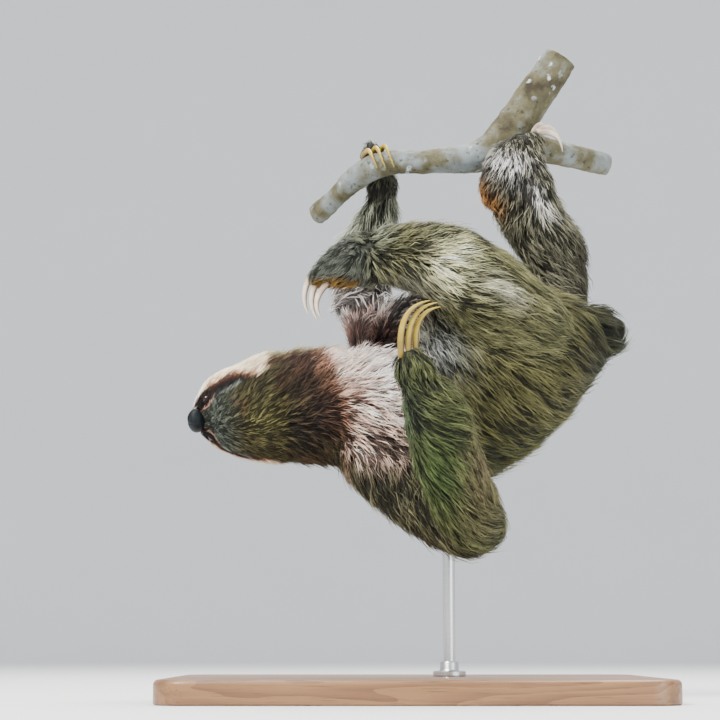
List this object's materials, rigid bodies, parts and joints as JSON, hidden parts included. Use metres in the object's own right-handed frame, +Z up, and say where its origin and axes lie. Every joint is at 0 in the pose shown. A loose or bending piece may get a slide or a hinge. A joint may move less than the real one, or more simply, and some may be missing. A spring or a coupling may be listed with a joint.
{
  "type": "three-toed sloth model",
  "caption": "Life-size still model of a three-toed sloth hanging upside down by one hand and one hind foot from a short cut length of branch, held by a rod on a flat display base.",
  "frame": {"origin": "The middle of the underside of the display base, on the surface it stands on.", "axes": "+Z up; +X towards the animal's tail and the fork of the perch, so its head points to -X; -Y towards its upturned throat, the side that is seen."},
  "size_m": [0.46, 0.34, 0.6447],
  "materials": {
    "coat_olive": "coarse shaggy coat, olive brown",
    "coat_green": "coarse shaggy coat tinged green by algae",
    "coat_face": "short dense face hair, brown with a pale brow and a dark eye stripe",
    "coat_throat": "soft coat, pinkish cream at the throat",
    "nose_skin": "moist bare skin",
    "eye_gloss": "polished",
    "hand_horn": "worn yellow-olive horn",
    "foot_horn": "worn off-white horn",
    "bark": "rough grey bark with lichen",
    "board": "satin varnish",
    "steel": "brushed"
  },
  "bodies": {
    "root": {"head": "coat_face", "neck": "coat_throat", "trunk": "coat_olive", "tail": "coat_olive", "upper_arm_left": "coat_green", "forearm_left": "coat_green", "hand_left": "coat_green", "thigh_left": "coat_olive", "shank_left": "coat_olive", "foot_left": "coat_olive", "upper_arm_right": "coat_green", "forearm_right": "coat_green", "hand_right": "coat_green", "thigh_right": "coat_olive", "shank_right": "coat_olive", "foot_right": "coat_olive", "eye_left": "eye_gloss", "eye_right": "eye_gloss", "nose": "nose_skin", "claw_hand_left_1": "hand_horn", "claw_hand_left_2": "hand_horn", "claw_hand_left_3": "hand_horn", "claw_hand_right_1": "hand_horn", "claw_hand_right_2": "hand_horn", "claw_hand_right_3": "hand_horn", "claw_foot_left_1": "foot_horn", "claw_foot_left_2": "foot_horn", "claw_foot_left_3": "foot_horn", "claw_foot_right_1": "foot_horn", "claw_foot_right_2": "foot_horn", "claw_foot_right_3": "foot_horn", "perch_branch": "bark", "stand_base": "board", "stand_rod": "steel"}
  },
  "joints": []
}
